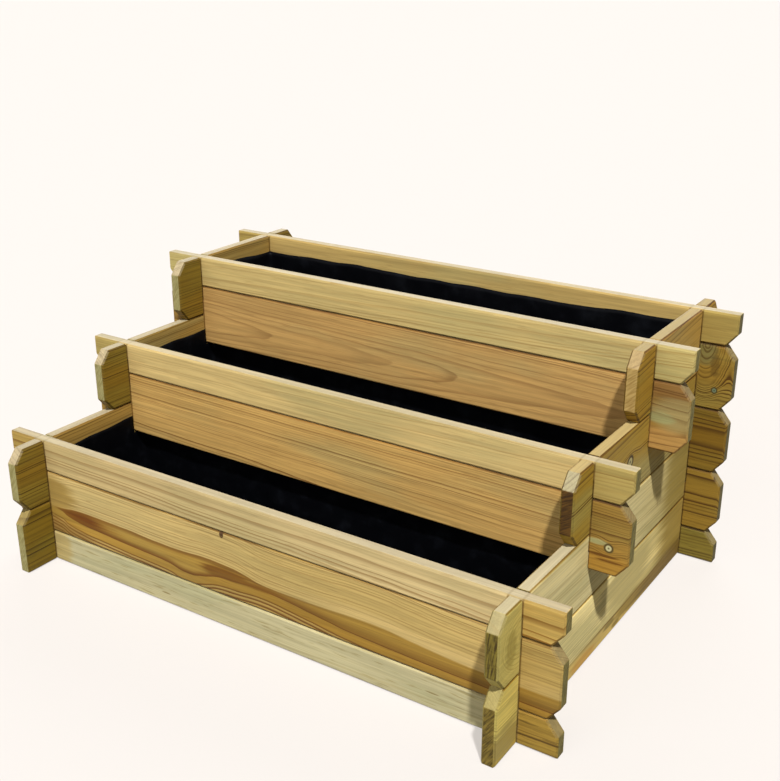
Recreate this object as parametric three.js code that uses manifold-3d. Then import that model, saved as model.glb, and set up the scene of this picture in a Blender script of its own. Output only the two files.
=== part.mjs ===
// Stepped vegetable planter: three beds between boards that cross in halved joints at the corners.
// Millimetres, +X to the right, +Y to the back, +Z up. The origin is on the ground under the middle.
import * as THREE from "three";
import { mergeVertices } from "three/addons/utils/BufferGeometryUtils.js";
import Module from "manifold-3d";

const wasm = await Module();
wasm.setup();

// Boards
const boardHeight = 130; // a full board, and the rise from one side board to the next
const boardThickness = 25;
const overhang = 70; // a board end, past the outer face of the wall that it crosses
const chamferRun = 21; // cut off the corners of a board end, along the board
const chamferRise = 26; // and across it
const arris = 3; // small bevel round the faces of a board
const fitGap = 0.4; // clearance in the halved joints and between stacked boards

// Beds
const bedWidth = 1014; // clear, between the side walls
const bedDepth = 211; // clear, front to back, the same in each bed

// Liners
const linerThickness = 1;
const linerGap = 0.3; // from a liner to the boards round it and to the next liner
const linerDrop = 25; // from the rim of a bed down to the edge of its liner

const cutMargin = 5; // how far a cutting solid runs on past the face that it opens

// Cross walls from front to back. The two risers hang in the side boards and stop short of the ground.
const walls = [
  { name: "front", grounded: true, color: 0xc8a564 },
  { name: "middle_riser", grounded: false, color: 0xc6a060 },
  { name: "upper_riser", grounded: false, color: 0xc9a668 },
  { name: "back", grounded: true, color: 0xb8975a },
];
const sides = [
  { name: "left", sign: -1, color: 0xbfa86c },
  { name: "right", sign: 1, color: 0xb4a873 },
];
const bedNames = ["front", "middle", "top"];
const baseRailColor = 0xb9af7d;
const linerColor = 0x0a0c10;

const lastWall = walls.length - 1;
const halfHeight = boardHeight / 2;
const sideX = (bedWidth + boardThickness) / 2; // middle of a side wall's thickness
const crossLength = bedWidth + 2 * (boardThickness + overhang);

// Middle of a cross wall's thickness.
function wallY(wall) {
  return (wall - lastWall / 2) * (bedDepth + boardThickness);
}

// Side boards that stand under the rim of a wall.
function rimCourse(wall) {
  return Math.min(wall, lastWall - 1) + 2;
}

function rimHeight(wall) {
  return rimCourse(wall) * boardHeight;
}

// Lower edge of a riser, one rail and one full board below its rim.
function riserFoot(wall) {
  return rimHeight(wall) - halfHeight - boardHeight;
}

function toSolid(geometry) {
  const bare = new THREE.BufferGeometry();
  bare.setAttribute("position", geometry.getAttribute("position"));
  bare.setIndex(geometry.index);
  const merged = mergeVertices(bare);
  const vertProperties = merged.getAttribute("position").array;
  const triVerts = new Uint32Array(merged.index.array);
  return new wasm.Manifold(new wasm.Mesh({ numProp: 3, vertProperties, triVerts }));
}

function toGeometry(solid) {
  const { vertProperties, triVerts } = solid.getMesh();
  const geometry = new THREE.BufferGeometry();
  geometry.setAttribute("position", new THREE.BufferAttribute(vertProperties, 3));
  geometry.setIndex(new THREE.BufferAttribute(triVerts, 1));
  geometry.computeVertexNormals();
  return geometry;
}

function namedMesh(name, solid, color, roughness) {
  const material = new THREE.MeshStandardMaterial({ color, roughness, metalness: 0, flatShading: true });
  const mesh = new THREE.Mesh(toGeometry(solid), material);
  mesh.name = name;
  return mesh;
}

// A board stands on edge: its length along X, its lower edge at y = 0, its thickness centred on z = 0.
function boardSolid(board) {
  const end = board.length / 2;
  const top = board.height - fitGap;
  const low = board.cutLow ? 1 : 0;
  const high = board.cutHigh ? 1 : 0;
  const corners = [
    new THREE.Vector2(-end + low * chamferRun, 0),
    new THREE.Vector2(end - low * chamferRun, 0),
    new THREE.Vector2(end, low * chamferRise),
    new THREE.Vector2(end, top - high * chamferRise),
    new THREE.Vector2(end - high * chamferRun, top),
    new THREE.Vector2(-end + high * chamferRun, top),
    new THREE.Vector2(-end, top - high * chamferRise),
    new THREE.Vector2(-end, low * chamferRise),
  ];
  const outline = corners.filter((corner, i) => !corner.equals(corners[(i + 1) % corners.length]));
  const geometry = new THREE.ExtrudeGeometry(new THREE.Shape(outline), {
    depth: boardThickness - 2 * arris,
    bevelThickness: arris,
    bevelSize: arris,
    bevelOffset: -arris,
    bevelSegments: 1,
  });
  geometry.translate(0, 0, arris - boardThickness / 2);
  return toSolid(geometry);
}

// A box that opens a notch in a board, from one height to another.
function notchSolid(at, from, to) {
  const width = boardThickness + 2 * fitGap;
  const geometry = new THREE.BoxGeometry(width, to - from, boardThickness + 2 * cutMargin);
  geometry.translate(at, (from + to) / 2, 0);
  return toSolid(geometry);
}

// The height that two boards have in common.
function sharedHeight(board, other) {
  const from = Math.max(board.bottom, other.bottom);
  const to = Math.min(board.bottom + board.height, other.bottom + other.height);
  return { from, to };
}

function doCross(cross, side) {
  const { from, to } = sharedHeight(cross, side);
  return cross.wall >= side.startWall && to - from > fitGap;
}

// Where two boards cross, each gives up half of the height that they share: the lower board its upper half.
function notchBetween(board, other, at) {
  const { from, to } = sharedHeight(board, other);
  const seat = (from + to) / 2 - board.bottom;
  const isLower = board.bottom + board.height / 2 < other.bottom + other.height / 2;
  return isLower
    ? notchSolid(at, seat - fitGap / 2, board.height + cutMargin)
    : notchSolid(at, -cutMargin, seat + fitGap / 2);
}

// The boards of one cross wall, from the ground or the foot of a riser up to the rim.
function crossBoards(wall) {
  const { name, grounded, color } = walls[wall];
  const course = rimCourse(wall);
  const first = grounded ? 0 : course - 2;
  const count = course - 1 - first;
  const boards = [];
  if (grounded) {
    boards.push({ name: `${name}_base_rail`, bottom: 0, height: halfHeight, cutHigh: true, color: baseRailColor });
  }
  for (let i = 0; i < count; i++) {
    boards.push({
      name: count > 1 ? `${name}_board_${i + 1}` : `${name}_board`,
      bottom: (first + i) * boardHeight + halfHeight,
      height: boardHeight,
      cutLow: true,
      cutHigh: true,
      color,
    });
  }
  const railBottom = rimHeight(wall) - halfHeight;
  boards.push({ name: `${name}_top_rail`, bottom: railBottom, height: halfHeight, cutLow: true, color });
  return boards.map((board) => ({ ...board, wall, length: crossLength }));
}

// The boards of one side wall. The upper ones start at the riser that they carry.
function sideBoards(side) {
  const boards = [];
  for (let course = 0; course < rimCourse(lastWall); course++) {
    const startWall = Math.max(0, course - 1);
    const reach = boardThickness / 2 + overhang;
    const frontEnd = wallY(startWall) - reach;
    const backEnd = wallY(lastWall) + reach;
    boards.push({
      name: `${side.name}_side_board_${course + 1}`,
      bottom: course * boardHeight,
      height: boardHeight,
      cutLow: course > 0,
      cutHigh: true,
      startWall,
      sign: side.sign,
      length: backEnd - frontEnd,
      middleY: (frontEnd + backEnd) / 2,
      color: side.color,
    });
  }
  return boards;
}

// A liner is an open tray of film that stands on the ground and reaches up the walls of its bed.
// Behind the bed it runs on under the riser and meets the next liner. Its outline is drawn from the side,
// front to back along X and up along Y.
function linerSolid(bed) {
  const width = bedWidth - 2 * linerGap;
  const top = rimHeight(bed) - linerDrop;
  const front = wallY(bed) + boardThickness / 2 + linerGap;
  const bedBack = wallY(bed + 1) - boardThickness / 2 - linerGap;
  const back = walls[bed + 1].grounded ? bedBack : wallY(bed + 1) + boardThickness / 2;
  const backTop = walls[bed + 1].grounded ? top : riserFoot(bed + 1) - linerGap;
  const outline = [
    new THREE.Vector2(front, 0),
    new THREE.Vector2(back, 0),
    new THREE.Vector2(back, backTop),
    new THREE.Vector2(bedBack, backTop),
    new THREE.Vector2(bedBack, top),
    new THREE.Vector2(front, top),
  ];
  const corners = outline.filter((corner, i) => !corner.equals(outline[(i + 1) % outline.length]));
  const outer = new THREE.ExtrudeGeometry(new THREE.Shape(corners), { depth: width, bevelEnabled: false });
  outer.translate(0, 0, -width / 2);
  const inside = new THREE.BoxGeometry(back - front - 2 * linerThickness, top, width - 2 * linerThickness);
  inside.translate((front + back) / 2, top / 2 + linerThickness, 0);
  return toSolid(outer).subtract(toSolid(inside));
}

const crossList = walls.flatMap((_, wall) => crossBoards(wall));
const sideList = sides.flatMap((side) => sideBoards(side));
const planter = new THREE.Group();

// Cross walls are drawn along X and turned up onto their edges.
const crossGroup = new THREE.Group();
crossGroup.rotation.x = Math.PI / 2;
planter.add(crossGroup);
for (const board of crossList) {
  let solid = boardSolid(board);
  for (const side of sideList.filter((other) => doCross(board, other))) {
    solid = solid.subtract(notchBetween(board, side, side.sign * sideX));
  }
  const mesh = namedMesh(board.name, solid, board.color, 0.75);
  mesh.position.set(0, board.bottom, -wallY(board.wall));
  crossGroup.add(mesh);
}

// Side walls and liners are drawn along X too, and turned to run from front to back.
const sideGroup = new THREE.Group();
sideGroup.rotation.set(Math.PI / 2, Math.PI / 2, 0);
planter.add(sideGroup);
for (const board of sideList) {
  let solid = boardSolid(board);
  for (const cross of crossList.filter((other) => doCross(other, board))) {
    solid = solid.subtract(notchBetween(board, cross, wallY(cross.wall) - board.middleY));
  }
  const mesh = namedMesh(board.name, solid, board.color, 0.75);
  mesh.position.set(board.middleY, board.bottom, board.sign * sideX);
  sideGroup.add(mesh);
}
bedNames.forEach((name, bed) => {
  sideGroup.add(namedMesh(`${name}_bed_liner`, linerSolid(bed), linerColor, 0.6));
});

export default planter;
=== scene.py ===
import math
import bmesh
import bpy
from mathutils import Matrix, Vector, noise


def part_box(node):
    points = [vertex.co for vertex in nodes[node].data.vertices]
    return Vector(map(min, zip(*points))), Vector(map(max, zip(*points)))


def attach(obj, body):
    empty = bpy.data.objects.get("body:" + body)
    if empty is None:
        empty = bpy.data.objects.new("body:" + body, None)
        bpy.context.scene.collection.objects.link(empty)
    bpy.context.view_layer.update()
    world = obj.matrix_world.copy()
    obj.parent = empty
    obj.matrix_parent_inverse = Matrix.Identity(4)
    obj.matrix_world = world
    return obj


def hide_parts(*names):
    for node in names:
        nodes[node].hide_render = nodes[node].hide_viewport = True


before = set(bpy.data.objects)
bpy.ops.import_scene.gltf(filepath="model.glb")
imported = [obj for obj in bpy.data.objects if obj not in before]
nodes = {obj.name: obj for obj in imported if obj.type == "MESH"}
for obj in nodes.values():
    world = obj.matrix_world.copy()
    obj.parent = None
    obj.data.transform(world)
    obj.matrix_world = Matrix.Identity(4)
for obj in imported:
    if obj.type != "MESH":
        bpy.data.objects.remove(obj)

scene = bpy.context.scene
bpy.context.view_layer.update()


def screenColour(red, green, blue):  # a colour as seen on a screen, 0 to 255, for a shader socket
    parts = [part / 255 for part in (red, green, blue)]
    return [part / 12.92 if part < 0.04 else ((part + 0.055) / 1.055) ** 2.4 for part in parts] + [1]


def lookFrom(azimuth, elevation):  # degrees to the right of straight on and above level
    turn, tilt = math.radians(azimuth), math.radians(elevation)
    return Vector((math.sin(turn) * math.cos(tilt), -math.cos(turn) * math.cos(tilt), math.sin(tilt)))


# camera, from the board edges in the photograph
cameraSettings = {
    "lookAt": (0.0186, 0.0568, 0.3393),
    "azimuth": 33.39,
    "elevation": 21.54,
    "distance": 2.244,
    "lens": 52.69,  # mm
    "sensor": 36,  # mm wide
}


def makeCamera(settings):
    data = bpy.data.cameras.new("photoCamera")
    data.lens = settings["lens"]
    data.sensor_width = settings["sensor"]
    camera = bpy.data.objects.new("photoCamera", data)
    scene.collection.objects.link(camera)
    away = lookFrom(settings["azimuth"], settings["elevation"])
    camera.location = Vector(settings["lookAt"]) + away * settings["distance"]
    camera.rotation_mode = "QUATERNION"
    camera.rotation_quaternion = (-away).to_track_quat("-Z", "Y")
    scene.camera = camera


makeCamera(cameraSettings)
scene.view_settings.view_transform = "Standard"
print("camera set")


# node helpers
def addNode(tree, kind, values=None, **settings):
    node = tree.nodes.new(kind)
    for key, value in settings.items():
        setattr(node, key, value)
    for key, value in (values or {}).items():
        if isinstance(value, bpy.types.NodeSocket):
            tree.links.new(value, node.inputs[key])
        else:
            node.inputs[key].default_value = value
    return node


def maths(tree, operation, *values):
    return addNode(tree, "ShaderNodeMath", dict(enumerate(values)), operation=operation).outputs[0]


def product(tree, first, *others):
    for other in others:
        first = maths(tree, "MULTIPLY", first, other)
    return first


def smoothRange(tree, value, low, high, toLow=0.0, toHigh=1.0):
    values = {"Value": value, "From Min": low, "From Max": high, "To Min": toLow, "To Max": toHigh}
    return addNode(tree, "ShaderNodeMapRange", values, interpolation_type="SMOOTHSTEP").outputs[0]


def mixNumber(tree, share, first, second):
    return addNode(tree, "ShaderNodeMix", {0: share, 2: first, 3: second}).outputs[0]


def mixColour(tree, share, first, second, blend="MIX"):
    values = {0: share, 6: first, 7: second}
    return addNode(tree, "ShaderNodeMix", values, data_type="RGBA", blend_type=blend).outputs[2]


def paint(tree, colour, share, parts):  # cover with a screen colour
    return mixColour(tree, share, colour, screenColour(*parts))


def tint(tree, colour, share, parts):
    return mixColour(tree, share, colour, [*parts, 1], "MULTIPLY")


def sway(tree, value, wave, amount):  # shift a value by a noise that runs from 0 to 1
    return maths(tree, "MULTIPLY_ADD", maths(tree, "SUBTRACT", wave, 0.5), amount, value)


def newMaterial(name):
    material = bpy.data.materials.new(name)
    material.use_nodes = True
    material.node_tree.nodes.clear()
    return material, material.node_tree


# light, backdrop and floor
roomSettings = {
    "backdrop": (255, 249, 244),
    "fill": 0.11,  # light from all round
    "fillColour": (1, 0.95, 0.66, 1),
    "lamps": {  # softness in degrees
        "keyLight": {"energy": 4.7, "azimuth": 42, "elevation": 58, "softness": 3},
        "frontFill": {"energy": 1.2, "azimuth": -10, "elevation": 22, "softness": 60},
        "backFill": {"energy": 2.2, "azimuth": 205, "elevation": 16, "softness": 60},
    },
    "floorGlow": 0.533,  # share of the pale floor that no shadow darkens
    "floorColour": 0.28,
    "floorBounce": (0.12, 0.11, 0.08, 1),  # what the floor throws back at the boards
    "floorReach": 60,  # m
    "floorDrop": 0.0004,  # m, below the boards
}


def seenRay(tree):  # 1 where the camera looks, also by way of gloss or glass
    ray = addNode(tree, "ShaderNodeLightPath").outputs
    straight = maths(tree, "ADD", ray["Is Camera Ray"], ray["Is Glossy Ray"])
    return maths(tree, "ADD", straight, ray["Is Transmission Ray"])


def makeLamp(name, settings):
    lamp = bpy.data.lights.new(name, "SUN")
    lamp.energy = settings["energy"]
    lamp.angle = math.radians(settings["softness"])
    holder = bpy.data.objects.new(name, lamp)
    scene.collection.objects.link(holder)
    holder.rotation_mode = "QUATERNION"
    holder.rotation_quaternion = lookFrom(settings["azimuth"], settings["elevation"]).to_track_quat("Z", "Y")


def makeRoom(settings):
    world = bpy.data.worlds.new("softRoom")
    scene.world = world
    world.use_nodes = True
    tree = world.node_tree
    tree.nodes.clear()
    colour = screenColour(*settings["backdrop"])
    values = {"Color": settings["fillColour"], "Strength": settings["fill"]}
    lit = addNode(tree, "ShaderNodeBackground", values).outputs[0]
    shown = addNode(tree, "ShaderNodeBackground", {"Color": colour, "Strength": 1.0}).outputs[0]
    mixed = addNode(tree, "ShaderNodeMixShader", {0: seenRay(tree), 1: lit, 2: shown})
    addNode(tree, "ShaderNodeOutputWorld", {0: mixed.outputs[0]})
    for name, lamp in settings["lamps"].items():
        makeLamp(name, lamp)

    mesh = bpy.data.meshes.new("floor")
    reach = settings["floorReach"]
    corners = [(-reach, -reach, 0), (reach, -reach, 0), (reach, reach, 0), (-reach, reach, 0)]
    mesh.from_pydata(corners, [], [(0, 1, 2, 3)])
    floor = bpy.data.objects.new("floor", mesh)
    scene.collection.objects.link(floor)
    floor.location.z = -settings["floorDrop"]
    material, tree = newMaterial("paleFloor")
    bounce = addNode(tree, "ShaderNodeBsdfDiffuse", {"Color": settings["floorBounce"]}).outputs[0]
    dimmed = [part * settings["floorColour"] for part in colour[:3]] + [1]
    shade = addNode(tree, "ShaderNodeBsdfDiffuse", {"Color": dimmed}).outputs[0]
    values = {"Color": colour, "Strength": settings["floorGlow"]}
    glow = addNode(tree, "ShaderNodeEmission", values).outputs[0]
    both = addNode(tree, "ShaderNodeAddShader", {0: shade, 1: glow}).outputs[0]
    mixed = addNode(tree, "ShaderNodeMixShader", {0: seenRay(tree), 1: bounce, 2: both})
    addNode(tree, "ShaderNodeOutputMaterial", {0: mixed.outputs[0]})
    mesh.materials.append(material)


makeRoom(roomSettings)
print("room lit:", len(roomSettings["lamps"]), "lamps")


# pine: growth rings round a pith line that runs along each board, a little off true
pineBase = {
    "pith": (0.06, 0.09),  # m, above the lower edge and behind the middle of the thickness
    "lean": (0.0, 0.02),  # m per m along the board
    "ring": 0.0055,  # m, width of a growth ring
    "ringBelow": None,  # the same, below a lens
    "wander": 0.012,  # m, how far the pith line strays
    "lens": None,  # a wide ring cut flat: its upper and lower line as places (along, up) on the face
    "early": (206, 180, 124),
    "late": (132, 90, 40),
    "depth": 0.7,  # how dark the late wood gets
    "far": 1.0,  # what is left of that away from a lens
    "fleck": 0.25,  # short dark strokes
    "cast": (170, 164, 110),  # green-grey of the treatment
    "castShare": 0.3,
    "fade": None,  # tint at the left or front end, gone past the middle
    "fadeFar": None,  # the same at the right or back end
    "overhang": (0.72, 0.66, 0.42),  # painted shade on the ends past the walls
    "overhangDepth": 1.3,  # their late wood is stronger
    "overhangLate": None,  # and may have its own colour
    "pale": (168, 156, 128),  # upper faces, paler and greyer: painted sheen
    "upper": (0.42, 0.34, 0.22),  # painted shade on the upper arrises, in the joints
    "seamShadow": (0.75, 0.68, 0.5),  # and painted shadow in the joint at their top
    "outer": None,  # tint that lightens the outer face of a left wall out of the painted shade of the rest
    "corner": 0.85,  # shade of the upright arrises
    "streak": 0.13,  # contrast of the broad streaks
    "chamfer": (121, 108, 73),
    "endLight": (128, 116, 58),
    "endDark": (76, 68, 26),
    "endAngle": 30,  # degrees, lean of the streaks on the sawn ends
    "knots": (),
    "whorl": None,  # rings round one place on an end
    "stains": (),
    "seed": 0.0,
}
railPine = {"upper": (0.7, 0.69, 0.68), "seamShadow": None}
darkPine = {
    "early": (160, 127, 62), "late": (88, 58, 18), "ring": 0.0075, "depth": 0.85,
    "overhang": (0.66, 0.64, 0.36), "overhangDepth": 1.7, "endLight": (98, 88, 42), "endDark": (52, 46, 16),
}
# left walls: darker and browner all over, painted shade
shadedLeftPine = {
    "early": (158, 126, 60), "late": (84, 58, 18), "depth": 0.85, "overhang": (0.62, 0.6, 0.23),
    "upper": (0.7, 0.66, 0.5), "corner": 0.7, "chamfer": (182, 166, 134), "outer": (1.5, 1.55, 1.9),
    "endLight": (160, 152, 104), "endDark": (134, 124, 76),
}
rightPine = {
    "early": (221, 203, 146), "late": (164, 138, 80), "ring": 0.0075, "depth": 0.55, "castShare": 0.45,
    "overhang": (0.7, 0.68, 0.4), "upper": (0.56, 0.47, 0.26), "corner": 0.62, "streak": 0.07,
    "chamfer": (145, 133, 100), "endLight": (122, 107, 42), "endDark": (56, 43, 9), "endAngle": 8,
    "fadeFar": (0.74, 0.68, 0.52), "seamShadow": (0.45, 0.36, 0.2),
}
boards = {
    "front_base_rail": {
        "pith": (0.2, 0.11), "lean": (0.03, 0.0), "early": (186, 176, 136), "late": (146, 130, 80),
        "ring": 0.008, "depth": 0.5, "fleck": 0.7, "castShare": 0.5, "cast": (175, 173, 132),
        "overhang": (0.66, 0.46, 0.14), "overhangDepth": 2.6, "overhangLate": (96, 82, 54), "seed": 1.3,
        "upper": (0.78, 0.72, 0.6), "seamShadow": None,
        "stains": (
            {"at": (-0.49, 0.03), "size": (0.035, 0.05), "colour": (178, 150, 78), "share": 0.6},
            {"at": (-0.205, 0.022), "size": (0.012, 0.002), "colour": (130, 112, 62), "share": 0.8},
            {"at": (0.379, 0.032), "size": (0.016, 0.0018), "colour": (130, 112, 62), "share": 0.8},
        ),
    },
    "front_board": {
        "lens": {
            "upper": (
                (-0.6, 0.044), (-0.48, 0.05), (-0.43, 0.0563), (-0.35, 0.0565), (-0.29, 0.056),
                (-0.215, 0.0535), (-0.163, 0.054), (-0.1, 0.0575), (-0.04, 0.056), (-0.005, 0.051),
                (0.03, 0.0445), (0.09, 0.043), (0.166, 0.0445), (0.22, 0.0475), (0.283, 0.0475),
                (0.325, 0.044), (0.44, 0.036), (0.6, 0.036),
            ),
            "lower": (
                (-0.6, 0.056), (-0.48, 0.046), (-0.46, 0.037), (-0.41, 0.029), (-0.37, 0.0265),
                (-0.29, 0.0225), (-0.24, 0.0205), (-0.195, 0.0185), (-0.145, 0.0105), (-0.113, 0.0155),
                (-0.064, 0.0276), (-0.032, 0.0294), (0.032, 0.0333), (0.07, 0.031), (0.13, 0.0246),
                (0.176, 0.0194), (0.22, 0.015), (0.355, 0.0105), (0.6, 0.008),
            ),
            "colour": (155, 122, 51), "widen": (0.0, 0.25), "edge": 0.013, "edgeShare": (0.75, 0.1),
            "strip": 0.0185, "stripColour": (153, 117, 45),  # the ring under it
            "halo": (202, 174, 112),  # plain wood over its wide part
        },
        "ring": 0.006, "ringBelow": 0.0075, "wander": 0.004, "depth": 1.0, "far": 0.65,
        "early": (188, 161, 98), "late": (97, 58, 14), "castShare": 0.1, "fade": (1.15, 1.19, 1.36),
        "overhang": (0.88, 0.85, 0.74), "overhangDepth": 1.0, "seed": 2.1,
        "knots": (
            {"at": (-0.058, 0.125), "size": (0.004, 0.006), "core": (66, 42, 16), "rim": (66, 42, 16)},
        ),
        "stains": (
            {"at": (-0.51, 0.08), "size": (0.08, 0.055), "colour": (152, 122, 53), "share": 0.8},
            {"at": (-0.49, 0.016), "size": (0.1, 0.02), "colour": (124, 90, 32), "share": 0.6},
            {"at": (-0.47, 0.05), "size": (0.15, 0.1), "colour": (124, 80, 21), "share": 0.7, "inLens": True},
            {"at": (-0.47, 0.05), "size": (0.11, 0.1), "colour": (100, 56, 9), "share": 1.1, "inLens": True},
            {"at": (-0.055, 0.047), "size": (0.065, 0.013), "colour": (112, 74, 20), "share": 1.1},
            {"at": (0.02, 0.043), "size": (0.07, 0.006), "colour": (116, 78, 22), "share": 0.9},
        ),
    },
    "front_top_rail": {
        **railPine, "pith": (-0.05, 0.12), "lean": (0.02, 0.02), "early": (199, 176, 125),
        "late": (130, 94, 44), "ring": 0.006, "depth": 0.8, "castShare": 0.25, "fade": (0.87, 0.85, 0.8),
        "overhang": (0.84, 0.73, 0.41), "overhangDepth": 1.4, "seed": 3.3,
    },
    "middle_riser_board": {
        "pith": (-0.02, 0.05), "ring": 0.0045, "early": (190, 152, 86), "late": (104, 64, 22), "depth": 0.9,
        "overhang": (0.58, 0.55, 0.34), "seed": 4.9,
        "knots": (
            {
                "at": (0.5664, 0.0496), "size": (0.0075, 0.0075), "push": 1.1,
                "core": (190, 186, 142), "rim": (78, 64, 32),
            },
        ),
        "stains": (
            {"at": (0.545, 0.057), "size": (0.024, 0.006), "colour": (168, 170, 120), "share": 0.7},
            {"at": (0.565, 0.02), "size": (0.06, 0.022), "colour": (174, 128, 46), "share": 0.5},
            {"at": (0.556, 0.034), "size": (0.036, 0.0035), "colour": (88, 52, 12), "share": 0.9},
            {"at": (0.57, 0.026), "size": (0.03, 0.0025), "colour": (96, 58, 14), "share": 0.9},
        ),
    },
    "middle_riser_top_rail": {
        **railPine, "pith": (0.12, 0.09), "lean": (-0.02, 0.03), "early": (200, 174, 114),
        "late": (150, 112, 56), "depth": 0.5, "overhang": (0.66, 0.67, 0.51), "seed": 5.2,
    },
    "upper_riser_board": {
        "pith": (0.05, 0.06), "ring": 0.0048, "early": (182, 144, 84), "late": (104, 62, 26),
        "castShare": 0.25, "overhang": (0.6, 0.58, 0.36), "overhangDepth": 2.2, "seed": 6.4,
        "stains": (
            {"at": (0.565, 0.02), "size": (0.06, 0.03), "colour": (186, 143, 80), "share": 0.75},
            {"at": (0.565, 0.12), "size": (0.06, 0.026), "colour": (124, 90, 46), "share": 0.85},
            {"at": (0.582, 0.07), "size": (0.06, 0.034), "colour": (152, 135, 86), "share": 0.85},
            {"at": (0.55, 0.062), "size": (0.03, 0.014), "colour": (150, 160, 110), "share": 0.45},
        ),
    },
    "upper_riser_top_rail": {
        **railPine, "pith": (-0.06, 0.1), "lean": (0.03, 0.0), "early": (192, 168, 108),
        "late": (144, 108, 52), "depth": 0.55, "overhang": (0.92, 0.98, 0.94), "pale": (166, 155, 130),
        "seed": 7.1,
    },
    "back_base_rail": {
        **darkPine, "pith": (0.15, 0.1), "early": (160, 136, 72), "castShare": 0.5,
        "overhang": (0.59, 0.62, 0.36), "overhangDepth": 1.1, "fleck": 0.6, "seed": 8.8,
    },
    "back_board_1": {
        **darkPine, "pith": (0.095, 0.03), "lean": (0.0, 0.0), "ring": 0.0062, "overhang": (0.76, 0.75, 0.42),
        "overhangDepth": 1.4, "seed": 9.1,
    },
    "back_board_2": {
        **darkPine, "pith": (0.07, 0.035), "lean": (0.0, 0.0), "ring": 0.0056, "overhang": (0.58, 0.52, 0.2),
        "overhangDepth": 1.2, "seed": 10.6,
    },
    "back_board_3": {
        **darkPine, "pith": (0.097, 0.05), "lean": (0.0, 0.0), "ring": 0.0058, "wander": 0.006,
        "overhang": (0.84, 0.84, 0.52), "overhangDepth": 3.0, "seed": 11.9,
        "whorl": {"at": (0.548, 0.132), "size": (0.042, 0.085)},
        "knots": (
            {
                "at": (0.5691, 0.04), "size": (0.0055, 0.006), "push": 0.8,
                "core": (104, 122, 98), "rim": (72, 64, 34),
            },
        ),
        "stains": (
            {"at": (0.544, 0.116), "size": (0.026, 0.03), "colour": (124, 116, 66), "share": 0.85},
            {"at": (0.566, 0.092), "size": (0.009, 0.03), "colour": (80, 56, 20), "share": 0.5},
        ),
    },
    "back_top_rail": {
        **darkPine, **railPine, "pith": (0.1, 0.1), "early": (180, 152, 90), "late": (112, 82, 36),
        "depth": 0.55, "overhang": (0.77, 0.8, 0.64), "overhangDepth": 2.0, "seed": 12.2,
    },
    "left_side_board_1": {
        **shadedLeftPine, "pith": (-0.14, 0.06), "ring": 0.013, "overhang": (0.54, 0.55, 0.18),
        "chamfer": (142, 124, 76), "seed": 13.4,
    },
    "left_side_board_2": {**shadedLeftPine, "pith": (0.24, 0.05), "ring": 0.007, "seed": 14.1},
    "left_side_board_3": {**shadedLeftPine, "pith": (-0.1, -0.07), "seed": 15.8},
    "left_side_board_4": {**shadedLeftPine, "pith": (0.22, -0.05), "seed": 16.3},
    "right_side_board_1": {
        **rightPine,
        "lens": {
            "upper": ((-0.44, 0.052), (-0.2, 0.044), (0.0, 0.041), (0.2, 0.042), (0.44, 0.038)),
            "lower": -0.1, "colour": (212, 181, 102), "widen": (-0.2, 0.02), "edge": 0.008,
            "edgeShare": (0.3, 0.95), "halo": (208, 190, 126),
        },
        "early": (250, 229, 160), "late": (108, 82, 32), "ring": 0.0055, "far": 0.4, "depth": 0.8,
        "chamfer": (135, 122, 78), "endLight": (128, 108, 46), "endDark": (64, 50, 12), "endAngle": 35,
        "seed": 17.7,
        "stains": (
            {"at": (-0.12, 0.012), "size": (0.05, 0.014), "colour": (204, 148, 66), "share": 0.6},
            {"at": (-0.01, 0.024), "size": (0.03, 0.006), "colour": (96, 84, 34), "share": 0.7},
            {"at": (0.02, 0.01), "size": (0.02, 0.005), "colour": (108, 90, 36), "share": 0.7},
            {"at": (0.07, 0.09), "size": (0.13, 0.06), "colour": (180, 163, 104), "share": 0.85},
            # darker towards the back end of the wall
            {"at": (0.34, 0.09), "size": (0.14, 0.2), "colour": (146, 121, 52), "share": 0.9},
            {"at": (0.1, 0.024), "size": (0.1, 0.018), "colour": (142, 116, 48), "share": 0.8},
            {"at": (0.3, 0.016), "size": (0.22, 0.03), "colour": (100, 76, 27), "share": 0.8},
            {"at": (-0.405, 0.03), "size": (0.05, 0.034), "colour": (160, 142, 80), "share": 0.85},
        ),
    },
    "right_side_board_2": {
        **rightPine, "pith": (-0.09, -0.1), "lean": (-0.04, 0.0), "early": (222, 206, 150), "seed": 18.5,
        "fadeFar": (0.7, 0.63, 0.46),
        "whorl": {"at": (-0.37, 0.066), "size": (0.055, 0.05)},
        "stains": (
            {"at": (-0.398, 0.062), "size": (0.018, 0.036), "colour": (126, 110, 44), "share": 0.5},
            # darker towards the back end of the wall
            {"at": (0.33, 0.065), "size": (0.12, 0.2), "colour": (144, 123, 57), "share": 0.9},
        ),
    },
    "right_side_board_3": {
        **rightPine, "pith": (0.2, -0.08), "lean": (0.05, 0.0), "early": (155, 126, 50), "late": (88, 58, 14),
        "ring": 0.007, "depth": 0.95, "overhang": (0.95, 0.92, 0.62), "chamfer": (161, 154, 125),
        "fadeFar": None, "endLight": (90, 62, 20), "endDark": (46, 28, 4), "endAngle": 60, "seed": 19.9,
        "pale": (171, 150, 101),
        "knots": (
            {
                "at": (-0.0905, 0.068), "size": (0.0125, 0.0115), "push": 1.0,
                "core": (170, 160, 114), "rim": (54, 40, 14),
            },
        ),
    },
    "right_side_board_4": {
        **rightPine, "pith": (0.24, -0.06), "lean": (0.08, 0.0), "early": (172, 137, 66),
        "late": (86, 56, 16), "ring": 0.0085, "depth": 0.95, "overhang": (0.76, 0.72, 0.33),
        "chamfer": (165, 143, 104), "fadeFar": None, "endLight": (178, 149, 90), "endDark": (144, 115, 60),
        "endAngle": 50, "pale": (148, 131, 88), "seed": 20.6,
    },
}
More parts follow.
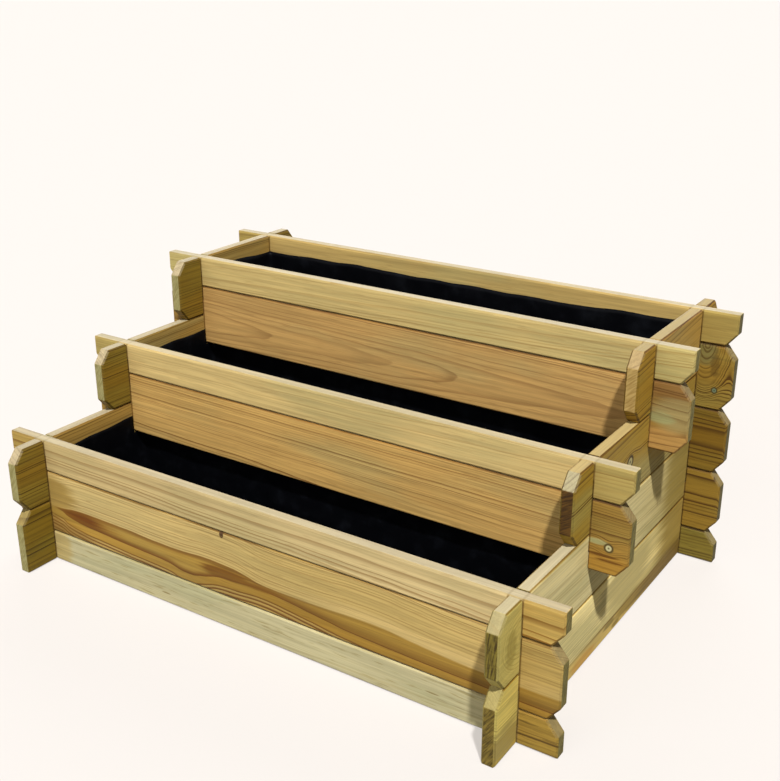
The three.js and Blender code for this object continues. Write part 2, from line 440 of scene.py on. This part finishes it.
boardMarks = {
    "overhang": 0.07,  # m of a board past the wall
    "overhangBlend": 0.004,  # m
    "under": (0.45, 0.4, 0.3),  # painted shade on the lower arrises
    "creviceShade": (0.4, 0.33, 0.2),  # and painted shadow along the line where boards cross
    "weld": 0.00002,  # m, joins doubled corners
    "rounding": 0.0012,  # m, of the arrises
    "roundSteps": 2,
    "roundAngle": 25,  # degrees
}
grains = {  # noises, with their scale along, through and up a board
    "drift": {"scale": (2.2, 5, 5), "shift": 0.0, "detail": 3.0},
    "fine": {"scale": (14, 60, 60), "shift": 3.1},
    "fibre": {"scale": (9, 420, 420), "shift": 5.7, "detail": 3.0, "roughness": 0.6},
    "streak": {"scale": (2.6, 130, 130), "shift": 6.9},
    "patch": {"scale": (3.2, 14, 14), "shift": 8.3, "detail": 3.0},
    "fleck": {"scale": (22, 330, 330), "shift": 9.4, "detail": 1.0},
    "sawn": {"scale": (330, 36), "shift": 2.7},  # across and along the streaks of a sawn end
}
ringMarks = {
    "fine": 0.0016,  # m, fine unevenness
    "knotReach": (0.5, 4.0),  # from there to there a knot pushes less and less, in its own size
    "whorl": 0.05,  # m of rings from the middle of a whorl to its edge
    "whorlDrift": 0.03,  # m, its broad unevenness
    "whorlFine": 0.006,  # m, and its fine unevenness
    "whorlEdge": (1.5, 1.0),  # where it starts and where it is full, in its own size
    "spread": 1.6,  # how uneven the widths are, in rings
    "widthScale": 0.6,  # how fast the widths change
    "yearScale": 0.16,  # how fast good and bad years change
    "yearStep": 7,  # keeps the years of the boards apart
    "years": (0.38, 0.58, 0.35, 1.1),  # late wood in bad and in good years
    "weakest": 0.35,  # late wood of the weakest ring
    "darken": (0.42, 0.9),  # where a ring darkens
    "stop": (1.0, 0.93),  # and its sharp end
}
lensMarks = {  # m, where nothing else is said
    "reach": 0.62,  # half of the run that its lines may have
    "tall": 0.13,  # and their greatest height
    "slant": 0.6,  # m up for each m into the board
    "fine": 0.0024,  # fine unevenness
    "tips": 0.006,  # rounding of its ends
    "lowBand": (0.015, 0.026),  # dark wood over its lower line, before it widens and after
    "lowShare": (0.95, 0.6),  # how dark that is
    "lowLine": (0.004, 0.0008),  # the line itself
    "darkest": (0.0005, 0.0015),  # inside the lower and the upper line
    "rim": 0.0006,  # half of the blend at its edge
    "inner": (0.002, -0.003),  # where its own colour starts and where it is full
    "halo": (0.026, 0.01),  # reach of the plain wood over it
    "haloRise": 0.01,
    "haloPlain": 0.8,  # share of the lines that is lost there
    "far": (0.006, 0.03),  # where the lines round it fade
    "lineStart": 0.0004,
    "middle": 0.012,  # half of the blend between the wood above and below it
    "spread": 0.5, "weakest": 0.75, "darken": (0.3, 0.75),  # rings below it, as in ringMarks
    "lead": 0.8,  # rings, by which the lines below start early
    "leadBlend": 0.002,
    "stripEnd": (0.001, -0.002),
    "stripLeast": 0.6,  # share of the strip's colour between the lines below
}
edgeMarks = {  # how far a face turns up, aside or to the end, where a mark starts and where it is full
    "level": (0.85, 0.97), "levelShare": 0.85,  # upper edges, painted sheen
    "endward": (0.45, 0.65), "rising": (0.3, 0.5), "chamferShare": 0.8, "chamferLate": 0.35,  # chamfers
    "arris": (0.2, 0.45), "arrisUnder": (-0.3, -0.6), "arrisUpper": (0.3, 0.6),
    "arrisPatch": (0.38, 0.55, 0.5, 1.0),  # the painted shade on upper arrises comes in patches
    "seamShadow": (0.0026, 0.0014),  # m below the top of a board, where the painted shadow in the joint lies
    "creviceShade": (0.0032, 0.0006),  # m from a crossing, painted shadow
    "creviceLevel": (0.9, 0.5, 0.3, 1.0),  # weaker on upper edges
    "corner": (0.15, 0.4),  # upright arrises
    "sawn": (0.85, 0.95),  # sawn ends
    "outer": (-0.6, -0.9),
}
fibreMarks = {
    "cast": (0.45, 0.7),  # patches with the cast of the treatment
    "fleck": (0.6, 0.75),
    "fade": (0.3, -0.7), "fadeFar": (-0.1, 0.9),  # in half lengths from the middle of the board
    "stain": (1.15, 0.6),  # edge and full part of a stain, in its own size
    "stainRagged": 0.8,
    "stainLate": 0.6,  # share of it that late wood keeps out
    "fibre": (0.25, 0.75, 0.88, 1.1),
    "mottle": (0.3, 0.7, 1.05, 0.95),
    "streak": (0.25, 0.75),
    "sawn": (0.3, 0.7), "sawnLate": 0.25,
    "bump": 0.35, "bumpDepth": 0.0008, "bumpLate": 0.5, "bumpFibre": 0.6,
    "roughness": (0.2, 0.8, 0.6, 0.78),
    "gloss": 0.25,
}
knotMarks = {  # from the middle of a knot, in its own size
    "core": (0.8, 0.55), "rimInside": (0.55, 0.85), "rimOutside": (1.35, 0.95), "dot": (0.34, 0.14, 0.0, 0.8),
}


def grainNoise(tree, parts, kind, seed):  # noise stretched along the board
    grain = {"detail": 2.0, "roughness": 0.5, **grains[kind]}
    start = seed + grain["shift"]
    scaled = [maths(tree, "MULTIPLY_ADD", part, scale, start) for part, scale in zip(parts, grain["scale"])]
    place = addNode(tree, "ShaderNodeCombineXYZ", dict(enumerate(scaled))).outputs[0]
    values = {"Vector": place, "Scale": 1.0, "Detail": grain["detail"], "Roughness": grain["roughness"]}
    return addNode(tree, "ShaderNodeTexNoise", values).outputs


def lineNoise(tree, value, scale):  # noise along one number
    values = {"W": value, "Scale": scale, "Detail": 1.0}
    return addNode(tree, "ShaderNodeTexNoise", values, noise_dimensions="1D").outputs["Fac"]


def boardFace(tree, name, seed):  # where a point lies on its board, which way it faces, and the noises there
    low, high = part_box(name)
    centre, half = (low + high) / 2, (high - low) / 2
    runAxis, deepAxis = (0, 1) if half.x > half.y else (1, 0)
    coords = addNode(tree, "ShaderNodeTexCoord").outputs
    place = addNode(tree, "ShaderNodeSeparateXYZ", {0: coords["Object"]}).outputs
    facing = addNode(tree, "ShaderNodeSeparateXYZ", {0: coords["Normal"]}).outputs
    run = maths(tree, "SUBTRACT", place[runAxis], centre[runAxis])
    deep = maths(tree, "SUBTRACT", place[deepAxis], centre[deepAxis])
    rise = maths(tree, "SUBTRACT", place[2], low.z)
    fromEnd = maths(tree, "SUBTRACT", half[runAxis], maths(tree, "ABSOLUTE", run))
    wall, blend = boardMarks["overhang"], boardMarks["overhangBlend"]
    face = {
        "parts": (run, deep, rise),  # along, through and up the board
        "halfRun": half[runAxis], "halfDeep": half[deepAxis], "top": high.z - low.z,
        "up": facing[2], "side": facing[deepAxis], "end": maths(tree, "ABSOLUTE", facing[runAxis]),
        "fromEnd": fromEnd, "beyond": smoothRange(tree, fromEnd, wall + blend, wall - blend),
    }
    for kind in ("fibre", "streak", "patch", "fleck"):
        face[kind] = grainNoise(tree, face["parts"], kind, seed)["Fac"]
    return face


def ellipse(tree, face, spot):  # 1 on the edge of an oval on a board's face
    run, _, rise = face["parts"]
    reach = []
    for part, at, size in zip((run, rise), spot["at"], spot["size"]):
        away = maths(tree, "DIVIDE", maths(tree, "SUBTRACT", part, at), size)
        reach.append(maths(tree, "MULTIPLY", away, away))
    return maths(tree, "SQRT", maths(tree, "ADD", *reach))


def growthRings(tree, face, wood):  # distance to the pith line
    run, deep, rise = face["parts"]
    drift = grainNoise(tree, face["parts"], "drift", wood["seed"])["Color"]
    drift = addNode(tree, "ShaderNodeSeparateXYZ", {0: drift}).outputs
    fine = grainNoise(tree, face["parts"], "fine", wood["seed"])["Fac"]
    squares = []
    for part, lean, pith, stray in zip((rise, deep), wood["lean"], wood["pith"], drift):
        line = maths(tree, "MULTIPLY_ADD", run, lean, pith)
        offset = sway(tree, maths(tree, "SUBTRACT", part, line), stray, wood["wander"])
        squares.append(maths(tree, "MULTIPLY", offset, offset))
    radius = sway(tree, maths(tree, "SQRT", maths(tree, "ADD", *squares)), fine, ringMarks["fine"])
    for knot in wood["knots"]:  # knots push the rings aside
        strength = knot["push"] * wood["ring"]
        push = smoothRange(tree, ellipse(tree, face, knot), *ringMarks["knotReach"], strength, 0.0)
        radius = maths(tree, "ADD", radius, push)
    if wood["whorl"]:
        away = ellipse(tree, face, wood["whorl"])
        around = maths(tree, "MULTIPLY", away, ringMarks["whorl"])
        around = sway(tree, around, drift[2], ringMarks["whorlDrift"])
        around = sway(tree, around, fine, ringMarks["whorlFine"])
        share = product(tree, face["beyond"], smoothRange(tree, away, *ringMarks["whorlEdge"]))
        radius = mixNumber(tree, share, radius, around)
    return radius


def faceLine(tree, run, places):  # height of a smooth line through places on a board's face
    if isinstance(places, float):
        return places
    reach, tall = lensMarks["reach"], lensMarks["tall"]
    along = maths(tree, "MULTIPLY_ADD", run, 0.5 / reach, 0.5)
    bend = addNode(tree, "ShaderNodeFloatCurve", {"Value": along})
    curve = bend.mapping.curves[0]
    spots = [(0.5 + 0.5 * x / reach, y / tall) for x, y in places]
    curve.points[0].location = spots[0]
    curve.points[1].location = spots[-1]
    for spot in spots[1:-1]:
        curve.points.new(*spot)
    bend.mapping.update()
    return maths(tree, "MULTIPLY", bend.outputs[0], tall)


def lensRings(tree, face, wood):  # distance outside a lens and above its middle, its dark edge and its halo
    run, deep, rise = face["parts"]
    lens, marks = wood["lens"], lensMarks
    drift = grainNoise(tree, face["parts"], "drift", wood["seed"])["Fac"]
    fine = grainNoise(tree, face["parts"], "fine", wood["seed"])["Fac"]
    height = maths(tree, "MULTIPLY_ADD", deep, marks["slant"], rise)
    height = sway(tree, sway(tree, height, drift, wood["wander"]), fine, marks["fine"])
    fromLow = maths(tree, "SUBTRACT", height, faceLine(tree, run, lens["lower"]))
    fromHigh = maths(tree, "SUBTRACT", faceLine(tree, run, lens["upper"]), height)
    inside = maths(tree, "SMOOTH_MIN", fromLow, fromHigh, marks["tips"])
    wide = smoothRange(tree, run, *lens["widen"])
    lowBand, lowShare = mixNumber(tree, wide, *marks["lowBand"]), mixNumber(tree, wide, *marks["lowShare"])
    lowEdge = smoothRange(tree, fromLow, lowBand, marks["darkest"][0], 0.0, lowShare)
    lowEdge = maths(tree, "MAXIMUM", lowEdge, smoothRange(tree, fromLow, *marks["lowLine"]))
    highEdge = smoothRange(tree, fromHigh, lens["edge"], marks["darkest"][1])
    highEdge = product(tree, highEdge, mixNumber(tree, wide, *lens["edgeShare"]))
    edge = maths(tree, "MAXIMUM", lowEdge, highEdge)
    edge = product(tree, edge, smoothRange(tree, inside, -marks["rim"], marks["rim"]))
    outside = maths(tree, "MULTIPLY", inside, -1.0)
    above = maths(tree, "SUBTRACT", fromLow, fromHigh)
    halo = product(tree, wide, smoothRange(tree, outside, *marks["halo"]))
    halo = product(tree, halo, smoothRange(tree, above, 0.0, marks["haloRise"]))
    return outside, above, edge, halo


def underLens(tree, above):  # 1 below the middle of a lens
    return smoothRange(tree, above, lensMarks["middle"], -lensMarks["middle"])


def lateWood(tree, distance, wood, above=None):  # each ring is pale, and darkens to a sharp late edge
    count = maths(tree, "DIVIDE", distance, wood["ring"])
    spread = ringMarks["spread"]
    if wood["ringBelow"]:
        lower = underLens(tree, above)
        past = maths(tree, "SUBTRACT", distance, wood["lens"]["strip"])
        count = mixNumber(tree, lower, count, maths(tree, "DIVIDE", past, wood["ringBelow"]))
        spread = mixNumber(tree, lower, spread, lensMarks["spread"])
    count = sway(tree, count, lineNoise(tree, count, ringMarks["widthScale"]), spread)
    year = maths(tree, "ADD", count, ringMarks["yearStep"] * wood["seed"])
    years = lineNoise(tree, year, ringMarks["yearScale"])
    share = maths(tree, "FRACT", count)
    number = maths(tree, "ADD", maths(tree, "FLOOR", count), wood["seed"])
    vigour = addNode(tree, "ShaderNodeTexWhiteNoise", {"W": number}, noise_dimensions="1D").outputs["Value"]
    depth, weakest = wood["depth"], ringMarks["weakest"]
    strength = maths(tree, "MULTIPLY_ADD", vigour, (1 - weakest) * depth, weakest * depth)
    strength = product(tree, strength, smoothRange(tree, years, *ringMarks["years"]))
    darker = smoothRange(tree, share, *ringMarks["darken"])
    if wood["ringBelow"]:
        weakest = lensMarks["weakest"]
        strong = maths(tree, "MULTIPLY_ADD", vigour, 1 - weakest, weakest)
        strength = mixNumber(tree, lower, strength, strong)
        darker = mixNumber(tree, lower, darker, smoothRange(tree, share, *lensMarks["darken"]))
    return product(tree, darker, smoothRange(tree, share, *ringMarks["stop"]), strength)


def lensWood(tree, figure, wood):  # lines fade away from a lens, and its own edge is dark
    outside, above, edge, halo = figure
    late = lateWood(tree, outside, wood, above)
    far = smoothRange(tree, outside, *lensMarks["far"], 1.0, wood["far"])
    far = product(tree, far, maths(tree, "MULTIPLY_ADD", halo, -lensMarks["haloPlain"], 1.0))
    clear = product(tree, far, smoothRange(tree, outside, -lensMarks["lineStart"], lensMarks["lineStart"]))
    if wood["ringBelow"]:
        start = wood["lens"]["strip"] - lensMarks["lead"] * wood["ringBelow"]
        lines = smoothRange(tree, outside, start, start + lensMarks["leadBlend"])
        clear = mixNumber(tree, underLens(tree, above), clear, lines)
    return maths(tree, "MAXIMUM", product(tree, late, clear), edge)


def addKnot(tree, colour, distance, knot):  # a dark rim, a paler core and a dot at its middle
    rim = smoothRange(tree, distance, *knotMarks["rimInside"])
    rim = product(tree, rim, smoothRange(tree, distance, *knotMarks["rimOutside"]))
    colour = paint(tree, colour, rim, knot["rim"])
    colour = paint(tree, colour, smoothRange(tree, distance, *knotMarks["core"]), knot["core"])
    return paint(tree, colour, smoothRange(tree, distance, *knotMarks["dot"]), knot["rim"])


def figureColour(tree, face, wood):  # early wood and any lens, the share of late wood, the inside of the lens
    colour, inner = screenColour(*wood["early"]), None
    if wood["lens"]:
        lens, figure = wood["lens"], lensRings(tree, face, wood)
        outside, above, _, halo = figure
        late = lensWood(tree, figure, wood)
        colour = paint(tree, colour, halo, lens["halo"])
        if wood["ringBelow"]:
            limits = [lens["strip"] + step for step in lensMarks["stripEnd"]]
            strip = smoothRange(tree, outside, *limits, lensMarks["stripLeast"], 1.0)
            colour = paint(tree, colour, product(tree, strip, underLens(tree, above)), lens["stripColour"])
        inner = smoothRange(tree, outside, *lensMarks["inner"])
        colour = paint(tree, colour, inner, lens["colour"])
    else:
        late = lateWood(tree, growthRings(tree, face, wood), wood)
    late = product(tree, late, mixNumber(tree, face["beyond"], 1.0, wood["overhangDepth"]))
    return colour, maths(tree, "MINIMUM", late, 1.0), inner


def woodColour(tree, face, wood, colour, late, inner):  # cast, late wood, fades, browner ends in painted shade, and stains
    run, marks = face["parts"][0], fibreMarks
    castShare = smoothRange(tree, face["patch"], *marks["cast"], 0.0, wood["castShare"])
    colour = paint(tree, colour, castShare, wood["cast"])
    flecks = smoothRange(tree, face["fleck"], *marks["fleck"], 0.0, wood["fleck"])
    lateColour = screenColour(*wood["late"])
    if wood["overhangLate"]:
        lateColour = paint(tree, lateColour, face["beyond"], wood["overhangLate"])
    colour = mixColour(tree, maths(tree, "MAXIMUM", late, flecks), colour, lateColour)
    for key in ("fade", "fadeFar"):
        if wood[key]:
            limits = [limit * face["halfRun"] for limit in marks[key]]
            colour = tint(tree, colour, smoothRange(tree, run, *limits), wood[key])
    if wood["outer"]:
        colour = tint(tree, colour, smoothRange(tree, face["side"], *edgeMarks["outer"]), wood["outer"])
    # painted shade on the ends past the walls
    colour = tint(tree, colour, face["beyond"], wood["overhang"])
    for stain in wood["stains"]:
        away = sway(tree, ellipse(tree, face, stain), face["streak"], marks["stainRagged"])
        share = smoothRange(tree, away, *marks["stain"], 0.0, stain["share"])
        share = product(tree, share, maths(tree, "MULTIPLY_ADD", late, -marks["stainLate"], 1.0))
        if stain.get("inLens"):
            share = product(tree, share, inner)
        colour = paint(tree, colour, share, stain["colour"])
    return colour


def edgeColour(tree, face, wood, colour, late):  # upper edges with painted sheen, chamfers, arrises with painted shade, lines where boards cross with painted shadow
    up, marks = face["up"], edgeMarks
    # painted sheen on the upper faces
    level = smoothRange(tree, up, *marks["level"], 0.0, marks["levelShare"])
    colour = paint(tree, colour, level, wood["pale"])
    rising = smoothRange(tree, up, *marks["rising"], 0.0, marks["chamferShare"])
    slope = product(tree, smoothRange(tree, face["end"], *marks["endward"]), rising)
    lined = product(tree, late, marks["chamferLate"])
    colour = mixColour(tree, slope, colour, paint(tree, screenColour(*wood["chamfer"]), lined, wood["late"]))

    across = maths(tree, "ABSOLUTE", maths(tree, "MULTIPLY", up, face["side"]))
    arris = smoothRange(tree, across, *marks["arris"])
    # painted shade on the lower arrises, which face down
    under = product(tree, arris, smoothRange(tree, up, *marks["arrisUnder"]))
    colour = tint(tree, colour, under, boardMarks["under"])
    # painted shade on the upper arrises, in the joints, in patches
    upper = product(tree, arris, smoothRange(tree, up, *marks["arrisUpper"]))
    upper = product(tree, upper, smoothRange(tree, face["patch"], *marks["arrisPatch"]))
    colour = tint(tree, colour, upper, wood["upper"])
    # painted shadow in the joint at the top of a board
    if wood["seamShadow"]:
        limits = [face["top"] - drop for drop in marks["seamShadow"]]
        seamShadow = product(tree, arris, smoothRange(tree, face["parts"][2], *limits))
        colour = tint(tree, colour, seamShadow, wood["seamShadow"])

    # painted shadow along the lines where boards cross
    halfDeep = face["halfDeep"]
    aside = maths(tree, "SUBTRACT", face["fromEnd"], boardMarks["overhang"] + halfDeep)
    aside = maths(tree, "SUBTRACT", maths(tree, "ABSOLUTE", aside), halfDeep)
    creviceShade = smoothRange(tree, maths(tree, "ABSOLUTE", aside), *marks["creviceShade"])
    creviceShade = product(tree, creviceShade, smoothRange(tree, up, *marks["creviceLevel"]))
    return tint(tree, colour, creviceShade, boardMarks["creviceShade"])


def fibreColour(tree, face, wood):  # a grey to multiply with: upright arrises, fibres, mottle and streaks
    turned = maths(tree, "ABSOLUTE", maths(tree, "MULTIPLY", face["end"], face["side"]))
    corner = smoothRange(tree, turned, *edgeMarks["corner"], 1.0, wood["corner"])
    fibre = smoothRange(tree, face["fibre"], *fibreMarks["fibre"])
    mottle = smoothRange(tree, face["patch"], *fibreMarks["mottle"])
    broad = smoothRange(tree, face["streak"], *fibreMarks["streak"], 1 - wood["streak"], 1 + wood["streak"])
    shade = product(tree, corner, fibre, mottle, broad)
    return addNode(tree, "ShaderNodeCombineColor", {0: shade, 1: shade, 2: shade}).outputs[0]


def sawnColour(tree, face, wood, late):  # sawn ends, streaked along the rings
    _, deep, rise = face["parts"]
    turn = math.radians(wood["endAngle"])
    along = maths(tree, "MULTIPLY_ADD", rise, math.cos(turn), product(tree, deep, math.sin(turn)))
    aside = maths(tree, "MULTIPLY_ADD", rise, -math.sin(turn), product(tree, deep, math.cos(turn)))
    sawn = grainNoise(tree, (aside, along), "sawn", wood["seed"])["Fac"]
    streaks = smoothRange(tree, sawn, *fibreMarks["sawn"])
    dark = maths(tree, "MULTIPLY_ADD", late, fibreMarks["sawnLate"], streaks)
    return paint(tree, screenColour(*wood["endLight"]), dark, wood["endDark"])


def pineMaterial(name, wood):
    material, tree = newMaterial(name + "_pine")
    face, marks = boardFace(tree, name, wood["seed"]), fibreMarks
    colour, late, inner = figureColour(tree, face, wood)
    colour = woodColour(tree, face, wood, colour, late, inner)
    colour = edgeColour(tree, face, wood, colour, late)
    colour = mixColour(tree, 1.0, colour, fibreColour(tree, face, wood), "MULTIPLY")
    for knot in wood["knots"]:
        colour = addKnot(tree, colour, ellipse(tree, face, knot), knot)
    end = smoothRange(tree, face["end"], *edgeMarks["sawn"])
    colour = mixColour(tree, end, colour, sawnColour(tree, face, wood, late))

    fibre = maths(tree, "MULTIPLY", face["fibre"], marks["bumpFibre"])
    height = maths(tree, "MULTIPLY_ADD", late, marks["bumpLate"], fibre)
    values = {"Strength": marks["bump"], "Distance": marks["bumpDepth"], "Height": height}
    values = {
        "Base Color": colour,
        "Roughness": smoothRange(tree, face["fibre"], *marks["roughness"]),
        "Normal": addNode(tree, "ShaderNodeBump", values).outputs[0],
        "Specular IOR Level": marks["gloss"],
    }
    surface = addNode(tree, "ShaderNodeBsdfPrincipled", values)
    addNode(tree, "ShaderNodeOutputMaterial", {0: surface.outputs[0]})
    return material


def dressBoard(name, wood):
    board = nodes[name]
    board.data.materials.clear()
    board.data.materials.append(pineMaterial(name, {**pineBase, **wood}))
    weld = board.modifiers.new("weld", "WELD")
    weld.merge_threshold = boardMarks["weld"]
    bevel = board.modifiers.new("roundedArris", "BEVEL")
    bevel.width = boardMarks["rounding"]
    bevel.segments = boardMarks["roundSteps"]
    bevel.limit_method = "ANGLE"
    bevel.angle_limit = math.radians(boardMarks["roundAngle"])


for boardName, boardWood in boards.items():
    dressBoard(boardName, boardWood)
print("boards:", len(boards))


# liners: loose black film, fixed round its upper edge and lying on the ground
filmBase = {
    "cell": 0.0095,  # m, mesh size
    "thickness": 0.0006,
    "off": 0.0008,  # clear of the boards
    "riserGap": 0.003,  # clear of the front of a riser
    "footGap": 0.002,  # and of its lower edge
    "softRounds": 5,  # smoothing of the corners
    "softStep": 0.5,
    "crease": 0.004,  # how far creases stand into the bed
    "bend": {"scale": 5, "share": 0.5},  # broad bends
    "ridges": (  # and sharper creases
        {"scale": 9, "shift": (0, 0, 7), "power": 4, "share": 0.7},
        {"scale": 21, "shift": (3, 0, 0), "power": 5, "share": 0.3},
    ),
    "edgeWave": 0.007,  # how uneven the upper edge is
    "edgeBroad": {"scale": 4, "shift": (0, 0, 0), "share": 1.0},
    "edgeSmall": {"scale": 13, "shift": (0, 0, 5), "share": 0.5},
    "colour": (0.0014, 0.0016, 0.0024, 1),
    "dustColour": (0.012, 0.014, 0.019, 1),
    "dustScale": 28.0,
    "dust": (0.5, 0.8, 0.0, 0.3),  # noise, then share
    "roughness": (0.3, 0.7, 0.42, 0.58),
    "pebbleScale": 240.0,
    "bump": 0.2,
    "bumpDepth": 0.0006,
    "gloss": 0.05,
}
films = {
    "front_bed_liner": {"riser": "middle_riser_board", "seed": 3.0},
    "middle_bed_liner": {"riser": "upper_riser_board", "seed": 17.0},
    "top_bed_liner": {"riser": None, "seed": 31.0},
}


def filmMaterial(settings):
    material, tree = newMaterial("linerFilm")
    coords = addNode(tree, "ShaderNodeTexCoord").outputs["Object"]
    values = {"Vector": coords, "Scale": settings["dustScale"], "Detail": 5.0}
    dust = addNode(tree, "ShaderNodeTexNoise", values).outputs["Fac"]
    values = {"Vector": coords, "Scale": settings["pebbleScale"], "Detail": 3.0}
    pebbles = addNode(tree, "ShaderNodeTexNoise", values).outputs["Fac"]
    dusty = smoothRange(tree, dust, *settings["dust"])
    values = {"Strength": settings["bump"], "Distance": settings["bumpDepth"], "Height": pebbles}
    values = {
        "Base Color": mixColour(tree, dusty, settings["colour"], settings["dustColour"]),
        "Roughness": smoothRange(tree, dust, *settings["roughness"]),
        "Normal": addNode(tree, "ShaderNodeBump", values).outputs[0],
        "Specular IOR Level": settings["gloss"],
    }
    surface = addNode(tree, "ShaderNodeBsdfPrincipled", values)
    addNode(tree, "ShaderNodeOutputMaterial", {0: surface.outputs[0]})
    return material


def evenSteps(start, stop, cell):
    count = max(1, math.ceil((stop - start) / cell))
    return [start + (stop - start) * i / count for i in range(count + 1)]


def trayMesh(low, high, face, foot, settings):  # an open tray, lower behind the face of a riser
    cell, seed = settings["cell"], Vector((settings["seed"], 0, 0))
    xs = evenSteps(low.x, high.x, cell)
    ys = evenSteps(low.y, face, cell)
    lastFull = len(ys) - 1  # the last row of the side walls that reaches the upper edge
    if face < high.y:
        ys += evenSteps(face, high.y, cell)[1:]
    footSteps = evenSteps(low.z, foot, cell)
    aboveSteps = evenSteps(0, 1, cell / (high.z - foot))[1:]
    lastX, lastY, lastFoot = len(xs) - 1, len(ys) - 1, len(footSteps) - 1
    lastUp = lastFoot + len(aboveSteps)

    def upperEdge(x, y):
        height = 1
        for wave in (settings["edgeBroad"], settings["edgeSmall"]):
            place = Vector((x, y, 0)) * wave["scale"] + Vector(wave["shift"]) + seed
            height += wave["share"] * noise.noise(place)
        return high.z - settings["edgeWave"] * height

    def rowHeight(x, y, k):
        if k <= lastFoot:
            return footSteps[k]
        return foot + (upperEdge(x, y) - foot) * aboveSteps[k - lastFoot - 1]

    def topRow(j):
        return lastUp if j <= lastFull else lastFoot

    shell = bmesh.new()
    points = {}
    for i, x in enumerate(xs):
        for j, y in enumerate(ys):
            onWall = i in (0, lastX) or j in (0, lastY)
            for k in range(topRow(j) + 1 if onWall else 1):
                points[i, j, k] = shell.verts.new((x, y, rowHeight(x, y, k)))
    for i in range(lastX):
        for j in range(lastY):
            shell.faces.new([points[i + a, j + b, 0] for a, b in ((0, 0), (1, 0), (1, 1), (0, 1))])
        for j, order in ((0, 1), (lastY, -1)):
            for k in range(topRow(j)):
                quad = [points[i, j, k], points[i, j, k + 1], points[i + 1, j, k + 1], points[i + 1, j, k]]
                shell.faces.new(quad[::order])
    for j in range(lastY):
        for i, order in ((0, -1), (lastX, 1)):
            for k in range(topRow(j + 1)):
                quad = [points[i, j, k], points[i, j, k + 1], points[i, j + 1, k + 1], points[i, j + 1, k]]
                shell.faces.new(quad[::order])
    return shell


def creaseFilm(shell, settings):  # soft corners, then creases into the bed
    seed = Vector((settings["seed"], 0, 0))
    loose = [vert for vert in shell.verts if not vert.is_boundary]
    axes = {"use_axis_x": True, "use_axis_y": True, "use_axis_z": True}
    for _ in range(settings["softRounds"]):
        bmesh.ops.smooth_vert(shell, verts=loose, factor=settings["softStep"], **axes)
    shell.normal_update()
    moves, bend = [], settings["bend"]
    for vert in shell.verts:
        place = vert.co + seed
        depth = bend["share"] * (noise.noise(place * bend["scale"]) * 0.5 + 0.5)
        for ridge in settings["ridges"]:
            away = abs(noise.noise(place * ridge["scale"] + Vector(ridge["shift"])))
            depth += ridge["share"] * (1 - away) ** ridge["power"]
        moves.append(vert.normal * settings["crease"] * depth)
    for vert, move in zip(shell.verts, moves):
        vert.co += move


def makeFilm(name, settings, material):
    low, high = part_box(name)
    off = settings["off"]
    low = low + Vector((off, off, settings["thickness"]))
    high = high - Vector((off, off, 0))
    face, foot = high.y, low.z
    if settings["riser"]:
        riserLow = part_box(settings["riser"])[0]
        face, foot = riserLow.y - settings["riserGap"], riserLow.z - settings["footGap"]
    shell = trayMesh(low, high, face, foot, settings)
    creaseFilm(shell, settings)
    mesh = bpy.data.meshes.new(name + "_film")
    shell.to_mesh(mesh)
    shell.free()
    mesh.shade_smooth()
    mesh.materials.append(material)
    film = bpy.data.objects.new(name + "_film", mesh)
    scene.collection.objects.link(film)
    skin = film.modifiers.new("filmThickness", "SOLIDIFY")
    skin.thickness = settings["thickness"]
    skin.offset = 1
    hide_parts(name)
    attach(film, "root")
    return film


filmSkin = filmMaterial(filmBase)
for filmName, filmSettings in films.items():
    made = makeFilm(filmName, {**filmBase, **filmSettings}, filmSkin)
    print("film:", made.name, len(made.data.polygons), "faces")
